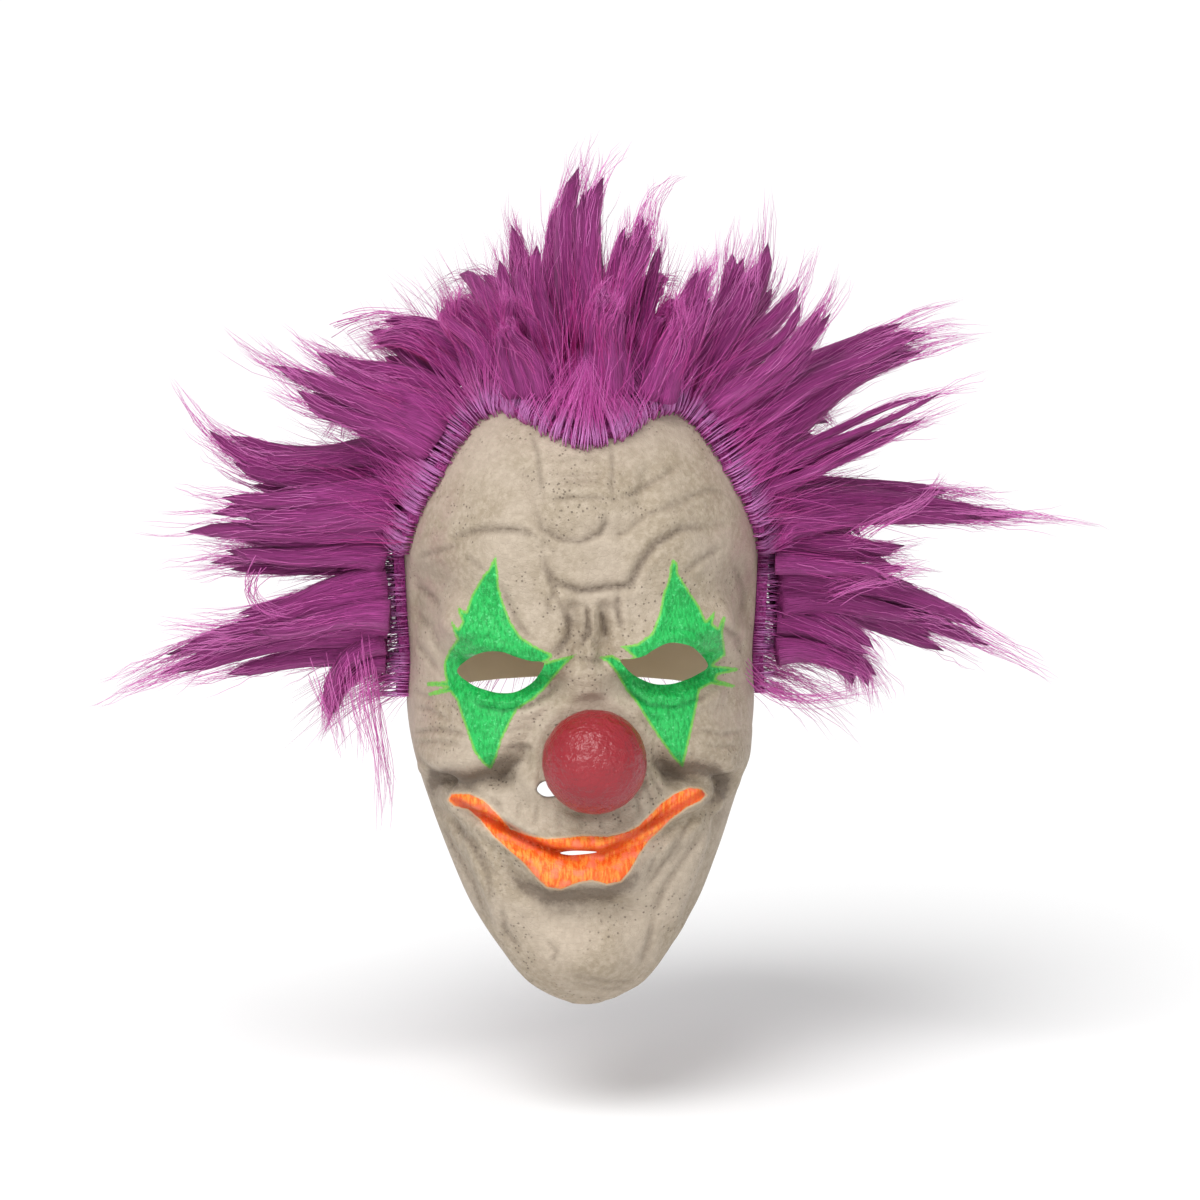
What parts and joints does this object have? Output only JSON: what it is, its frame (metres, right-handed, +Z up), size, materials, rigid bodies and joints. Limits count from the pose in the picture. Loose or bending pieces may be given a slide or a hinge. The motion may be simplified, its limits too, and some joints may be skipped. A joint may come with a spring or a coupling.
{
  "type": "clown mask",
  "caption": "Moulded latex clown mask with a wrinkled face, eye holes, a red ball nose and a wig of magenta fur in tufts.",
  "frame": {"origin": "where the top of the wearer's head meets the inside of the crown", "axes": "+Z up, the face looks along -Y, +X to the right of someone facing the mask"},
  "size_m": [0.4807, 0.2838, 0.4134],
  "materials": {
    "latex": "moulded latex, matt grey-beige paint with green and orange make-up",
    "nose": "moulded latex, glossy dark red paint",
    "fur": "long-pile acrylic fur, teased into tufts"
  },
  "bodies": {
    "root": {"latex_face": "latex", "nose_ball": "nose", "fur_wig": "fur"}
  },
  "joints": []
}
